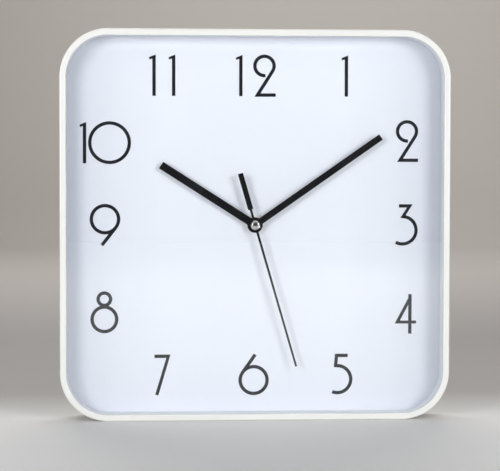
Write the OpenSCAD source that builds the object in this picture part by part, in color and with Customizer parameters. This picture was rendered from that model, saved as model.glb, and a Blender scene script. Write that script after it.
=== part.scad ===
// Square wall clock with a glazed face, three hands and a quartz movement.
// Millimetres. X right, Z up, the face looks towards -Y. The origin is under the middle of the case.
// Depths are counted from the front of the case towards the wall.

/* [Case] */
// Width of the case
clock_w = 300; // [270:1:380]
// Height of the case
clock_h = 300; // [270:1:380]
// Radius of the case's outer corners
corner_r = 37; // [24:1:60]
// Width of the front rim
rim_w = 5; // [4.5:0.1:9]
// Thickness of the front rim
lip_t = 2.5; // [1.5:0.1:5]
// Thickness of the case's side wall
wall = 2.5; // [1.5:0.1:3.2]
// Rounding of the rim's outer edge
edge_r = 1.5; // [0.5:0.1:2.4]
// Rounding of the rim's inner edge
inner_edge_r = 0.8; // [0.2:0.1:1.4]
// Side clearance of the plates inside the case
fit_gap = 0.3; // [0.2:0.05:0.5]

/* [Face] */
// Thickness of the glass
glass_t = 2; // [1.5:0.1:4]
// Depth of the dial behind the front of the case
dial_depth = 18.8; // [18:0.1:24]
// Thickness of the printed dial
dial_t = 0.5; // [0.3:0.1:1.5]
// Thickness of the plate behind the dial
plate_t = 2; // [1.5:0.1:4]
// Height and depth of the shadow groove at the foot of the inner wall
groove = 0.8; // [0.3:0.1:1.2]
// Height of the numerals
numeral_h = 32; // [20:0.5:40]
// Stroke width of the numerals
stroke = 2.6; // [1.2:0.05:4]
// Thickness of the printed ink
ink_t = 0.15; // [0.1:0.05:0.4]
// Distance from the rim's opening to the middle line of the numerals
numeral_inset = 27.5; // [24:0.5:40]

/* [Hands] */
// Length of the hour hand from the centre
hour_len = 86; // [50:1:90]
// Width of the hour hand
hour_w = 6; // [3:0.1:8]
// Length of the minute hand from the centre
minute_len = 119; // [80:1:124]
// Width of the minute hand
minute_w = 5; // [2.5:0.1:7]
// Length of the second hand from the centre
second_len = 114; // [70:1:124]
// Width of the second hand at the centre
second_w = 1.85; // [0.8:0.05:2.4]
// Width of the second hand's counterweight
weight_w = 4.1; // [2:0.1:6]
// Where the counterweight starts
weight_from = 12.5; // [8:0.5:16]
// Where the counterweight ends
weight_to = 41.5; // [24:0.5:50]
// Thickness of the hands' sheet metal
hand_t = 0.5; // [0.3:0.05:0.8]
// Hour hand's direction, clockwise from twelve
hour_angle = 302.5; // [0:0.5:360]
// Minute hand's direction, clockwise from twelve
minute_angle = 55; // [0:0.5:360]
// Second hand's direction, clockwise from twelve
second_angle = 163.75; // [0:0.25:360]
// Radius of the bright cap over the centre
cap_r = 3.7; // [2.5:0.1:5]

/* [Back] */
// Room between the movement and the wall
back_room = 3.7; // [2.8:0.1:20]
// Thickness of the back cover
cover_t = 2.5; // [2:0.1:4]
// How far the back cover sits inside the rear edge
cover_inset = 1.5; // [1.3:0.1:4]
// Radius of the screw bosses in the corners
boss_r = 4; // [3:0.1:5]
// Radius of the cover screws' shank
screw_r = 1.45; // [1:0.05:2]
// Radius of the cover screws' head
screw_head_r = 2.8; // [2:0.1:3.5]
// Radius of the keyhole's entry
keyhole_r = 5; // [4:0.1:7]
// Width of the keyhole's slot
keyhole_slot = 5; // [4:0.1:7]
// Length of the keyhole's slot above its entry
keyhole_rise = 10; // [8:0.5:16]
// Distance of the keyhole's entry from the top of the case
keyhole_drop = 40; // [30:1:60]

/* [Movement] */
// Side of the movement's case
move_w = 56; // [56:0.5:60]
// Thickness of the movement's case
move_t = 16; // [16:0.1:18]
// Wall of the movement's case
move_wall = 1.2; // [0.8:0.1:1.2]
// Outer radius of the threaded bush
bush_r = 3.8; // [3.6:0.05:4.5]
// Outer radius of the hour pipe
hour_pipe_r = 2.55; // [2.4:0.05:2.7]
// Outer radius of the minute arbor
minute_arbor_r = 1.5; // [1.3:0.05:1.6]
// Radius of the second arbor
second_arbor_r = 0.57; // [0.4:0.01:0.7]
// Radius of the pivots of the other wheels
pivot_r = 0.4; // [0.3:0.01:0.45]
// Radial running clearance of every arbor
running = 0.08; // [0.02:0.01:0.1]
// Radius of the setting knob
knob_r = 5; // [3.5:0.1:6]
// Radius of the battery
cell_r = 7.1; // [6.9:0.05:7.1]
// Length of the battery with its button
cell_len = 50.5; // [49.5:0.1:51]

/* [Hidden] */
$fn = 96;
eps = 0.01;
press = 0.01;

// Depths of the fixed stack
glass_d = lip_t;
reveal_d = glass_d + glass_t;
plate_d = dial_depth + dial_t;
plate_back_d = plate_d + plate_t;
rubber_t = 1;
move_d = plate_back_d + rubber_t;
clock_d = move_d + move_t + back_room;
cover_back_d = clock_d - cover_inset;
cover_d = cover_back_d - cover_t;

// Screw bosses, and how the cover screws pass and seat
boss_root = 0.6;
boss_gap = 1;
thread_fit = 0.03;
head_seat = 1.2;

// Clearance of the plates round the centre fixing, and the bush's spigot in the movement
bush_gap = 0.3;
spigot_r = 3.2;

// Heights of the pieces in front of the dial
washer_t = 0.5;
nut_t = 2;
nut_flats = 10;
bush_h = washer_t + nut_t + 0.7;
hour_h = bush_h + 1;
hour_pipe_h = hour_h + hand_t + 0.5;
minute_h = hour_pipe_h + 1;
minute_arbor_h = minute_h + hand_t + 0.2;
second_h = minute_arbor_h + 1.3;
second_arbor_h = second_h + hand_t + 0.6;
cap_h = 2;
hour_disc_r = 6;
minute_disc_r = 5.5;
stack_gap = 0.3;

// Places inside the movement, counted from the movement's axis
move_corner_r = 2;
inner = move_w / 2 - move_wall;
floor_m = move_wall;
roof_m = move_t - move_wall;
split_m = 7;
bay_gap = 0.15;
bay_top = -inner + 2 * (cell_r + bay_gap);
bay_wall = 1;
cell_z = -inner + cell_r + bay_gap;
cell_m = floor_m + cell_r + 0.1;
contact_t = 0.5;
contact_depth = 12;
contact_h = 10;
cell_right = inner - contact_t - 0.1;
cell_left = cell_right - cell_len;
button_len = 1.3;
button_r = 2.75;

// Gear train: teeth of each wheel and pinion, and the centre distances
third_z = 60;
third_pinion_z = 8;
centre_z = 64;
second_z = 40;
second_pinion_z = 8;
fifth_z = 48;
fifth_pinion_z = 8;
rotor_z = 8;
minute_pinion_z = 12;
reverse_z = 36;
reverse_pinion_z = 10;
hour_z = 40;
knob_z = 12;
third_a = 10.8;
fifth_a = 8.4;
reverse_a = 9.6;
function module_for(a, z1, z2) = 2 * a / (z1 + z2);
function polar(r, a) = [r * cos(a), r * sin(a)];
third_dir = 50;
fifth_dir = 150;
rotor_dir = 120;
reverse_dir = 180;
knob_dir = 200;
third_at = polar(third_a, third_dir);
fifth_at = polar(fifth_a, fifth_dir);
rotor_at = fifth_at + polar(fifth_a, rotor_dir);
reverse_at = polar(reverse_a, reverse_dir);
knob_at = reverse_at + polar(reverse_a, knob_dir);
arbor_r = 0.5;
stud_r = 0.6;
stud_over = 0.2;
boss_wall = 0.75;
pivot_boss_r = pivot_r + running + boss_wall;
knob_shaft_r = 1.2;

// Layers of the train, counted from the movement's front face
hour_m = floor_m + 0.3;
hour_wheel_t = 1;
reverse_pinion_m = floor_m + 0.2;
reverse_m = hour_m + hour_wheel_t + 0.4;
wheel_t = 0.8;
reverse_wheel_t = 1;
reverse_end_m = reverse_m + reverse_wheel_t;
centre_m = reverse_end_m + 0.7;
bridge_m = centre_m + wheel_t + 0.4;
bridge_t = 0.8;
bridge_back_m = bridge_m + bridge_t;
third_m = bridge_back_m + 0.3;
second_m = third_m + wheel_t + 0.7;
fifth_m = second_m + wheel_t + 0.7;
magnet_m = fifth_m + wheel_t + 0.6;
magnet_t = 2;
magnet_r = 2.5;
core_m = fifth_m + wheel_t + 0.4;
core_t = 0.8;
stator_m = core_m + core_t;
stator_t = 0.8;
pinion_over = 0.2;
pinion_t = wheel_t + 2 * pinion_over;
pinion_lead = 0.1;
setting_m = reverse_m - pinion_lead;
setting_t = reverse_wheel_t + 4 * pinion_lead;

// Bridge outline, the length of a pivot, and the ends of the pivoted arbors
bridge_low = [-15.2, -10.2];
bridge_high = [15.5, 15.8];
pivot_len = 1.1;
third_front_m = centre_m - 1.9;
third_back_m = third_m + wheel_t + 1.7;
fifth_front_m = second_m - 1.6;
fifth_back_m = fifth_m + wheel_t + 2.7;
rotor_front_m = fifth_m - 2;
rotor_back_m = magnet_m + magnet_t + 1.4;
knob_front_m = reverse_m - 1.6;
second_boss_m = second_m + wheel_t + 2;
second_boss_t = 2;

// Coil over the top of the train
coil_z = 21;
coil_left = -18;
coil_right = 0;
coil_len = coil_right - coil_left;
core_left = coil_left - 4.3;
core_right = coil_right + 3.5;
flange_t = 1;
coil_m = core_m + core_t / 2;
flange_r = 3.2;
winding_r = 2.9;
spool_r = 1.9;
core_w = 3;

// Circuit board: its left, bottom, right and top edges
board = [12, -9, 26, 25];
board_m = 11;
board_t = 1;
board_back_m = board_m + board_t;
board_x = (board[0] + board[2]) / 2;

// Numerals: glyph strokes are drawn on a grid 32 high, centred on the glyph's cell
em = numeral_h / 32;
pen = stroke / em;
side_x = clock_w / 2 - rim_w - numeral_inset;
side_z = clock_h / 2 - rim_w - numeral_inset - 1;

// ---------------------------------------------------------------- helpers

// Extrudes a face-on outline from one depth over a thickness
module slab(d, t) {
    translate([0, d + t - clock_d / 2, clock_h / 2])
        rotate([90, 0, 0])
            linear_extrude(t)
                children();
}

// The same inside the movement, from a depth behind its front face
module layer(m, t) {
    slab(move_d + m, t) children();
}

// A round disc or post inside the movement
module post(at, r, m, t) {
    layer(m, t) translate(at) circle(r);
}

// Turns a profile of radius and depth about an axis square to the face
module turned(d) {
    translate([0, d - clock_d / 2, clock_h / 2])
        rotate([-90, 0, 0])
            rotate_extrude()
                children();
}

// Runs a profile round the case: its x counts from the corners' centres, its y is the depth
module swept() {
    translate([0, -clock_d / 2, clock_h / 2])
        rotate([-90, 0, 0])
            for (i = [0:3]) {
                along = i % 2 == 0 ? clock_h : clock_w;
                across = i % 2 == 0 ? clock_w : clock_h;
                rotate(90 * i)
                    translate([across / 2 - corner_r, along / 2 - corner_r, 0]) {
                        rotate_extrude(angle = 90) children();
                        rotate([90, 0, 0]) linear_extrude(along - 2 * corner_r) children();
                    }
            }
}

// Rounded rectangle with true arcs
module rounded(w, h, r) {
    square([w - 2 * r, h], center = true);
    square([w, h - 2 * r], center = true);
    for (sx = [-1, 1], sy = [-1, 1])
        translate([sx * (w / 2 - r), sy * (h / 2 - r)]) circle(r);
}

// Outline of a plate that lies inside the case wall
module inside_case(gap) {
    cut = wall + gap;
    rounded(clock_w - 2 * cut, clock_h - 2 * cut, corner_r - cut);
}

// Ring between two radii
module ring(r_out, r_in) {
    difference() {
        circle(r_out);
        circle(r_in);
    }
}

// Points along an arc, from one angle to another in either sense
function arc_points(c, r, from, to) =
    let (steps = ceil(abs(to - from) / 7.5))
    [for (i = [0:steps]) c + polar(r, from + (to - from) * i / steps)];

// Where a line from point p touches a circle, on the side given by +1 or -1
function touch(c, r, p, side) =
    let (v = p - c, a = atan2(v[1], v[0]) + side * acos(r / norm(v)))
    c + polar(r, a);

// Corners of the bosses that take the cover screws
function boss_at() =
    let (r = corner_r - wall - boss_r + boss_root)
    [for (sx = [-1, 1], sy = [-1, 1])
        [sx * (clock_w / 2 - corner_r + r * cos(45)), sy * (clock_h / 2 - corner_r + r * sin(45))]];

// Involute gear outline with a tooth centred on angle 0
pressure = 25;
addendum = 0.7;
dedendum = 1.05;
slack = 0.22;
function inv(a) = tan(a) * 180 / PI - a;
function half_tooth(r, rb, z) =
    90 / z * (1 - slack) + inv(pressure) - (r > rb ? inv(acos(rb / r)) : 0);
function gear_outline(m, z) =
    let (
        rp = m * z / 2,
        rb = rp * cos(pressure),
        ra = rp + addendum * m,
        rf = rp - dedendum * m,
        foot = max(rb, rf),
        rs = [rf, foot + eps, (foot + ra) / 2, ra]
    )
    [for (i = [0:z - 1], k = [0:7])
        let (j = k < 4 ? k : 7 - k, side = k < 4 ? -1 : 1)
        polar(rs[j], 360 * i / z + side * half_tooth(rs[j], rb, z))];
// Angle of the second gear of a pair that lies in direction dir, so that the teeth mesh
function meshed(dir, phase, z1, z2) = dir + 180 + 180 / z2 + (dir - phase) * z1 / z2;

third_phase = meshed(third_dir, 0, second_pinion_z, third_z);
centre_phase = meshed(third_dir + 180, third_phase, third_pinion_z, centre_z);
fifth_phase = meshed(fifth_dir, 0, second_z, fifth_pinion_z);
rotor_phase = meshed(rotor_dir, fifth_phase, fifth_z, rotor_z);
reverse_phase = meshed(reverse_dir, 0, minute_pinion_z, reverse_z);
hour_phase = meshed(reverse_dir + 180, reverse_phase, reverse_pinion_z, hour_z);
knob_phase = meshed(knob_dir, reverse_phase, reverse_z, knob_z);

// Gear inside the movement
module gear(at, m, z, phase, from, t) {
    layer(from, t)
        translate(at)
            rotate(phase)
                polygon(gear_outline(m, z));
}

// ---------------------------------------------------------------- case

// Cross-section of the case wall and its front rim, with rounded front edges
module frame_profile() {
    difference() {
        union() {
            translate([corner_r - wall, 0]) square([wall, clock_d]);
            translate([corner_r - rim_w, 0]) square([rim_w, lip_t]);
        }
        difference() {
            translate([corner_r - edge_r, -eps]) square([edge_r + eps, edge_r + eps]);
            translate([corner_r - edge_r, edge_r]) circle(edge_r);
        }
        difference() {
            translate([corner_r - rim_w - eps, -eps]) square(inner_edge_r + eps);
            translate([corner_r - rim_w + inner_edge_r, inner_edge_r]) circle(inner_edge_r);
        }
    }
}

module case_frame() {
    screw_grip = 12;
    color("ivory") {
        swept() frame_profile();
        for (p = boss_at())
            difference() {
                slab(plate_back_d + boss_gap, cover_d - plate_back_d - boss_gap)
                    translate(p) circle(boss_r);
                slab(cover_d - screw_grip, screw_grip + eps)
                    translate(p) circle(screw_r + thread_fit);
            }
    }
}

module lens_glass() {
    color("lightcyan", 0.3)
        slab(glass_d, glass_t) inside_case(fit_gap);
}

// Inner wall between the glass and the dial
module reveal_ring() {
    x_in = corner_r - rim_w;
    x_out = corner_r - wall - fit_gap;
    color("ivory")
        swept()
            polygon([
                [x_in, reveal_d], [x_out, reveal_d], [x_out, dial_depth],
                [x_in + groove, dial_depth], [x_in + groove, dial_depth - groove],
                [x_in, dial_depth - groove]
            ]);
}

module dial_sheet() {
    color("aliceblue")
        slab(dial_depth, dial_t)
            difference() {
                inside_case(fit_gap);
                circle(bush_r + bush_gap);
            }
}

module dial_plate() {
    color("gainsboro")
        slab(plate_d, plate_t)
            difference() {
                inside_case(fit_gap);
                circle(bush_r + bush_gap);
                for (p = boss_at()) translate(p) circle(boss_r + boss_gap);
            }
}

module back_cover() {
    window_gap = 0.6;
    window = move_w + 2 * window_gap;
    pad_t = 1.5;
    pad_w = 26;
    pad_corner_r = 4;
    collar_w = 1.5;
    collar_t = 4;
    screw_slip = 0.25;
    head_slip = 0.3;
    key_z = clock_h / 2 - keyhole_drop;
    color("whitesmoke")
        difference() {
            union() {
                slab(cover_d, cover_t) inside_case(fit_gap);
                slab(cover_d - pad_t, pad_t)
                    translate([0, key_z + keyhole_rise / 2])
                        rounded(pad_w, pad_w + keyhole_rise, pad_corner_r);
                slab(cover_d - collar_t, collar_t)
                    rounded(window + 2 * collar_w, window + 2 * collar_w, move_corner_r + collar_w);
                cover_posts();
            }
            slab(cover_d - collar_t - eps, collar_t + cover_t + 2 * eps)
                rounded(window, window, move_corner_r);
            slab(cover_d - pad_t - eps, pad_t + cover_t + 2 * eps)
                translate([0, key_z]) {
                    circle(keyhole_r);
                    translate([-keyhole_slot / 2, 0]) square([keyhole_slot, keyhole_rise]);
                    translate([0, keyhole_rise]) circle(keyhole_slot / 2);
                }
            for (p = boss_at()) {
                slab(cover_d - eps, cover_t + 2 * eps) translate(p) circle(screw_r + screw_slip);
                slab(cover_back_d - head_seat, head_seat + eps)
                    translate(p) circle(screw_head_r + head_slip);
            }
        }
}

// Hollow posts on the cover that hold the dial plate against the inner wall
module cover_posts() {
    post_inset = 55;
    side_inset = 35;
    post_r = 3.5;
    post_bore_r = 2;
    x = clock_w / 2 - post_inset;
    z = clock_h / 2 - post_inset;
    side = clock_w / 2 - side_inset;
    for (at = [[x, z], [x, -z], [-x, z], [-x, -z], [side, 0], [-side, 0]])
        slab(plate_back_d, cover_d - plate_back_d)
            translate(at) ring(post_r, post_bore_r);
}

module cover_screws() {
    head_t = 1.8;
    shank = 9;
    cross_w = 0.7;
    cross_l = 3;
    cross_d = 1;
    color("silver")
        for (p = boss_at())
            difference() {
                union() {
                    slab(cover_back_d - head_seat, head_t) translate(p) circle(screw_head_r);
                    slab(cover_back_d - head_seat - shank, shank + eps) translate(p) circle(screw_r);
                }
                slab(cover_back_d - head_seat + head_t - cross_d, cross_d + eps)
                    translate(p) {
                        square([cross_l, cross_w], center = true);
                        square([cross_w, cross_l], center = true);
                    }
            }
}

// ---------------------------------------------------------------- dial print

module glyph_0() {
    ring(16.5, 16.5 - pen);
}

module glyph_1() {
    half = 15.9;
    polygon([
        [pen / 2, half], [pen / 2, -half], [-pen / 2, -half], [-pen / 2, half - 3.2],
        [-pen / 2 - 2.2, half - 3.9], [-pen / 2 - 2.6, half - 2.1]
    ]);
}

module glyph_2() {
    r = 8.75;
    base = -16.3;
    c = [0, 7.45];
    heel = [-7.75, base];
    knee = touch(c, r - pen, heel, 1) - c;
    lean = atan2(knee[1], knee[0]);
    inside = c + polar(r, lean);
    polygon(concat(
        arc_points(c, r, lean, 276),
        arc_points(c, r - pen, 276, lean),
        [heel, [r, base], [r, base + pen], [inside[0] + (inside[1] - base - pen) * tan(lean), base + pen]]
    ));
}

module glyph_3() {
    r = 12;
    c = [-3.2, -4.3];
    polygon(concat(
        [[-6, 16], [-6, 16 - pen], [0.3, 16 - pen], [-4.9, 5.5]],
        arc_points(c, r - pen, 91, -119),
        arc_points(c, r, -119, 78),
        [[4.8, 16]]
    ));
}

module glyph_4() {
    translate([4.9 - pen, -15.3]) square([pen, 31]);
    translate([-7.2, -7.3]) square([15.7, 2.3]);
    polygon([[4.9, 15.7], [3.9, 15.7], [-8.3, -7.3], [-5.5, -7.3], [4.9, 12.3]]);
}

module glyph_5() {
    r = 11.9;
    c = [-3.9, -4.1];
    polygon(concat(
        [[-5.7, 15.8], [-6.7, 5.4]],
        arc_points(c, r - pen, 91, -112),
        arc_points(c, r, -112, 90),
        [[-3.35, 15.8 - pen], [4.2, 15.8 - pen], [4.2, 15.8]]
    ));
}

// Round loop with a straight tail that leaves it as a tangent, the tail's tip given
module looped(tip) {
    r = 11.8;
    c = [0, -4.4];
    knee = touch(c, r - pen / 2, tip, 1) - c;
    lean = atan2(knee[1], knee[0]);
    n = polar(pen / 2, lean);
    difference() {
        polygon(concat([tip + n], arc_points(c, r, lean, lean + 360 - acos((r - pen) / r)), [tip - n]));
        translate(c) circle(r - pen);
    }
}

module glyph_6() {
    looped([1.2, 15.5]);
}

module glyph_7() {
    polygon([
        [-6, 15.8], [6.4, 15.8], [-3, -16], [-5.4, -15.3],
        [3.2, 15.8 - pen], [-6, 15.8 - pen]
    ]);
}

module glyph_8() {
    translate([0, 10.1]) ring(6.1, 6.1 - pen);
    translate([0, -5.5]) ring(10.8, 10.8 - pen);
}

module glyph_9() {
    rotate(180) looped([2.4, 15.7]);
}

module glyph(n) {
    if (n == 0) glyph_0();
    if (n == 1) glyph_1();
    if (n == 2) glyph_2();
    if (n == 3) glyph_3();
    if (n == 4) glyph_4();
    if (n == 5) glyph_5();
    if (n == 6) glyph_6();
    if (n == 7) glyph_7();
    if (n == 8) glyph_8();
    if (n == 9) glyph_9();
}

// Each digit: its glyph, the cell's place as shares of the numeral square, and its step in the cell
DIGITS = [
    [1, 0, 0.991, -10.9], [2, 0, 0.991, 7.4],
    [1, 0.605, 0.991, 0],
    [2, 1.01, 0.56, 0],
    [3, 1.01, 0, 0],
    [4, 1.005, -0.6, 0],
    [5, 0.585, -1, 0],
    [6, -0.005, -1, 0],
    [7, -0.61, -1, 0],
    [8, -0.99, -0.58, 0],
    [9, -0.985, 0, 0],
    [1, -0.985, 0.544, -15.6], [0, -0.985, 0.544, 3.6],
    [1, -0.61, 0.991, -6.2], [1, -0.61, 0.991, 8.9]
];

module numerals() {
    color("#23262e")
        slab(dial_depth - ink_t, ink_t)
            for (n = DIGITS)
                translate([side_x * n[1] + em * n[3], side_z * n[2]])
                    scale(em)
                        glyph(n[0]);
}

// ---------------------------------------------------------------- centre stack

module rubber_washer() {
    rubber_r = 11;
    rubber_gap = 0.2;
    color("dimgray")
        slab(plate_back_d, rubber_t) ring(rubber_r, bush_r + rubber_gap);
}

module brass_washer() {
    washer_r = 5.8;
    washer_gap = 0.1;
    color("gold")
        slab(dial_depth - washer_t, washer_t) ring(washer_r, bush_r + washer_gap);
}

module hex_nut() {
    color("gold")
        slab(dial_depth - washer_t - nut_t, nut_t)
            difference() {
                circle(nut_flats / sqrt(3), $fn = 6);
                circle(bush_r + thread_fit);
            }
}

module threaded_bush() {
    thread_w = 0.3;
    thread_d = 0.25;
    pitch = 0.75;
    lead_in = 0.3;
    front = dial_depth - bush_h;
    bore = hour_pipe_r + running;
    color("gold")
        difference() {
            union() {
                slab(front, move_d - front) circle(bush_r);
                slab(move_d - eps, move_wall + eps) circle(spigot_r - press);
            }
            slab(front - eps, move_d + move_wall - front + 2 * eps) circle(bore);
            turned(front)
                for (i = [0:floor((bush_h - lead_in) / pitch) - 1])
                    translate([bush_r - thread_d, lead_in + i * pitch]) square([2 * thread_d, thread_w]);
        }
}

// ---------------------------------------------------------------- hands

module blade(angle) {
    rotate(-angle) children();
}

module hour_hand() {
    collar_wall = 1.1;
    color("#16171b")
        difference() {
            union() {
                slab(dial_depth - hour_h - hand_t, hand_t) {
                    blade(hour_angle) translate([-hour_w / 2, 0]) square([hour_w, hour_len]);
                    circle(hour_disc_r);
                }
                slab(dial_depth - hour_pipe_h, hour_pipe_h - bush_h - stack_gap)
                    circle(hour_pipe_r + collar_wall);
            }
            slab(dial_depth - hour_pipe_h - eps, hour_pipe_h) circle(hour_pipe_r + press);
        }
}

module minute_hand() {
    collar_wall = 1;
    color("#16171b")
        difference() {
            union() {
                slab(dial_depth - minute_h - hand_t, hand_t) {
                    blade(minute_angle) translate([-minute_w / 2, 0]) square([minute_w, minute_len]);
                    circle(minute_disc_r);
                }
                slab(dial_depth - minute_h, minute_h - hour_pipe_h - stack_gap)
                    circle(minute_arbor_r + collar_wall);
            }
            slab(dial_depth - minute_arbor_h - eps, minute_arbor_h) circle(minute_arbor_r + press);
        }
}

module second_hand() {
    taper = 0.35;
    shoulder = 0.25;
    collar_wall = 0.9;
    cap_rest = 0.6;
    tip_w = second_w - taper;
    color("#16171b")
        difference() {
            union() {
                slab(dial_depth - second_h - hand_t, hand_t) {
                    blade(second_angle) {
                        polygon([
                            [-second_w / 2, -weight_from - shoulder], [second_w / 2, -weight_from - shoulder],
                            [tip_w / 2, second_len], [-tip_w / 2, second_len]
                        ]);
                        polygon([
                            [-weight_w / 2, -weight_to], [weight_w / 2, -weight_to],
                            [weight_w / 2, -weight_from - shoulder], [second_w / 2, -weight_from],
                            [-second_w / 2, -weight_from], [-weight_w / 2, -weight_from - shoulder]
                        ]);
                    }
                    circle(cap_r - cap_rest);
                }
                slab(dial_depth - second_h, second_h - minute_arbor_h - stack_gap)
                    circle(second_arbor_r + collar_wall);
            }
            slab(dial_depth - second_h - hand_t - eps, second_h) circle(second_arbor_r + press);
        }
}

// Domed bright cap on the end of the second arbor
module centre_cap() {
    rim = 0.5;
    end_gap = 0.05;
    dome_r = (cap_r * cap_r + (cap_h - rim) * (cap_h - rim)) / (2 * (cap_h - rim));
    base_h = second_h + hand_t;
    color("silver")
        difference() {
            turned(dial_depth - base_h)
                union() {
                    translate([0, -rim]) square([cap_r, rim]);
                    intersection() {
                        translate([0, dome_r - cap_h]) circle(dome_r);
                        translate([0, -cap_h - eps]) square([cap_r, cap_h - rim + 2 * eps]);
                    }
                }
            slab(dial_depth - second_arbor_h - end_gap, second_arbor_h - base_h + 2 * end_gap)
                circle(second_arbor_r + press);
        }
}

// ---------------------------------------------------------------- movement, fixed pieces

module move_outline() {
    rounded(move_w, move_w, move_corner_r);
}

// Perimeter wall of the movement's case with the wall over the battery bay
module move_walls(m, t) {
    layer(m, t) {
        difference() {
            move_outline();
            square([2 * inner, 2 * inner], center = true);
        }
        translate([-inner - eps, bay_top]) square([2 * inner + 2 * eps, bay_wall]);
    }
}

// Post with a blind hole for a pivot, open at one end
module pivot_boss(at, from, to, open) {
    depth = 1.3;
    difference() {
        post(at, pivot_boss_r, from, to - from);
        post(at, pivot_r + running, open == "back" ? to - depth : from - eps, depth + eps);
    }
}

module movement_front_case() {
    pillar_r = 1.3;
    pillar_in = [1.2, 1.2];
    low = bridge_low + pillar_in;
    high = bridge_high - pillar_in;
    color("#1b1b1d") {
        difference() {
            layer(0, move_wall) move_outline();
            post([0, 0], spigot_r, -eps, move_wall + 2 * eps);
        }
        move_walls(move_wall, split_m - move_wall);
        post(reverse_at, stud_r, move_wall, reverse_end_m + stud_over - move_wall);
        for (x = [low[0], high[0]], z = [low[1], high[1]])
            post([x, z], pillar_r, move_wall, bridge_m - move_wall);
        pivot_boss(third_at, move_wall, third_front_m + pivot_len, "back");
        pivot_boss(knob_at, move_wall, knob_front_m + pivot_len, "back");
    }
}

module movement_back_case() {
    rest_r = 1.5;
    rest_in = 3;
    color("#1b1b1d")
        difference() {
            union() {
                move_walls(split_m, move_t - split_m);
                layer(roof_m, move_wall)
                    translate([-inner - eps, bay_top])
                        square([2 * inner + 2 * eps, inner - bay_top + eps]);
                pivot_boss(third_at, third_back_m - pivot_len, roof_m + eps, "front");
                pivot_boss(fifth_at, fifth_back_m - pivot_len, roof_m + eps, "front");
                pivot_boss(rotor_at, rotor_back_m - pivot_len, roof_m + eps, "front");
                post(
                    [0, 0], second_arbor_r + running + boss_wall,
                    second_boss_m, roof_m - second_boss_m + eps
                );
                for (z = [board[1] + rest_in, board[3] - rest_in])
                    post([board_x, z], rest_r, board_back_m, roof_m - board_back_m + eps);
            }
            post(knob_at, knob_shaft_r + running, roof_m - eps, move_wall + 2 * eps);
            post([0, 0], second_arbor_r + running, second_boss_m - eps, second_boss_t);
        }
}

// Bridge that carries the train between the two halves of the case
module middle_plate() {
    pinion_hole_r = 2.2;
    color("darkslategray") {
        difference() {
            layer(bridge_m, bridge_t)
                translate(bridge_low) square(bridge_high - bridge_low);
            post([0, 0], minute_arbor_r + running, bridge_m - eps, bridge_t + 2 * eps);
            post(third_at, pinion_hole_r, bridge_m - eps, bridge_t + 2 * eps);
        }
        pivot_boss(fifth_at, bridge_back_m - eps, fifth_front_m + pivot_len, "back");
        pivot_boss(rotor_at, bridge_back_m - eps, rotor_front_m + pivot_len, "back");
    }
}

module stator() {
    leg_w = 3.2;
    bar_h = 4.4;
    pole_r = 4.6;
    air_gap = 0.4;
    notch_r = 1;
    notch_at = 4.8;
    z = rotor_at[1];
    leg_h = coil_z + core_w / 2 - z;
    color("lightslategray")
        layer(stator_m, stator_t)
            difference() {
                union() {
                    translate([core_left, z - bar_h / 2]) square([core_right - core_left, bar_h]);
                    for (x = [core_left, core_right - leg_w])
                        translate([x, z]) square([leg_w, leg_h]);
                    translate(rotor_at) circle(pole_r);
                }
                translate(rotor_at) circle(magnet_r + air_gap);
                for (s = [-1, 1]) translate(rotor_at + [0, s * notch_at]) circle(notch_r);
            }
}

module coil_core() {
    color("lightslategray")
        layer(core_m, core_t)
            translate([core_left, coil_z - core_w / 2])
                square([core_right - core_left, core_w]);
}

// Turns a profile about the coil's own axis, which lies along X
module along_coil(x, len, r) {
    translate([x, move_d + coil_m - clock_d / 2, clock_h / 2 + coil_z])
        rotate([0, 90, 0])
            cylinder(h = len, r = r);
}

module coil_bobbin() {
    slot_gap = 0.05;
    color("seashell")
        difference() {
            union() {
                along_coil(coil_left, coil_len, spool_r);
                along_coil(coil_left, flange_t, flange_r);
                along_coil(coil_right - flange_t, flange_t, flange_r);
            }
            layer(core_m - slot_gap, core_t + 2 * slot_gap)
                translate([core_left, coil_z - core_w / 2 - slot_gap])
                    square([core_right - core_left, core_w + 2 * slot_gap]);
        }
}

module coil_winding() {
    color("peru")
        difference() {
            along_coil(coil_left + flange_t, coil_len - 2 * flange_t, winding_r);
            along_coil(coil_left, coil_len, spool_r + press);
        }
}

module circuit_board() {
    color("darkgreen")
        layer(board_m, board_t)
            translate([board[0], board[1]])
                square([board[2] - board[0], board[3] - board[1]]);
}

// Blob of resin over the bonded chip
module clock_chip() {
    chip_r = 3;
    chip_h = 1;
    chip_z = 12;
    dome_r = (chip_r * chip_r + chip_h * chip_h) / (2 * chip_h);
    color("#101010")
        translate([board_x, 0, chip_z])
            turned(move_d + board_m)
                intersection() {
                    translate([0, dome_r - chip_h]) circle(dome_r);
                    translate([0, -chip_h - eps]) square([chip_r, chip_h + eps]);
                }
}

module quartz_crystal() {
    can_r = 1;
    can_len = 6;
    can_in = 3.5;
    can_z = -6;
    color("silver")
        translate([board[2] - can_in, move_d + board_m - can_r - clock_d / 2, clock_h / 2 + can_z])
            cylinder(h = can_len, r = can_r);
}

// Plate that stands across the battery bay, its near face at x
module contact_plate(x, t) {
    layer(cell_m - contact_depth / 2, contact_depth)
        translate([x, cell_z - contact_h / 2])
            square([t, contact_h]);
}

module positive_contact() {
    color("silver")
        contact_plate(inner - contact_t, contact_t - press);
}

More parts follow.
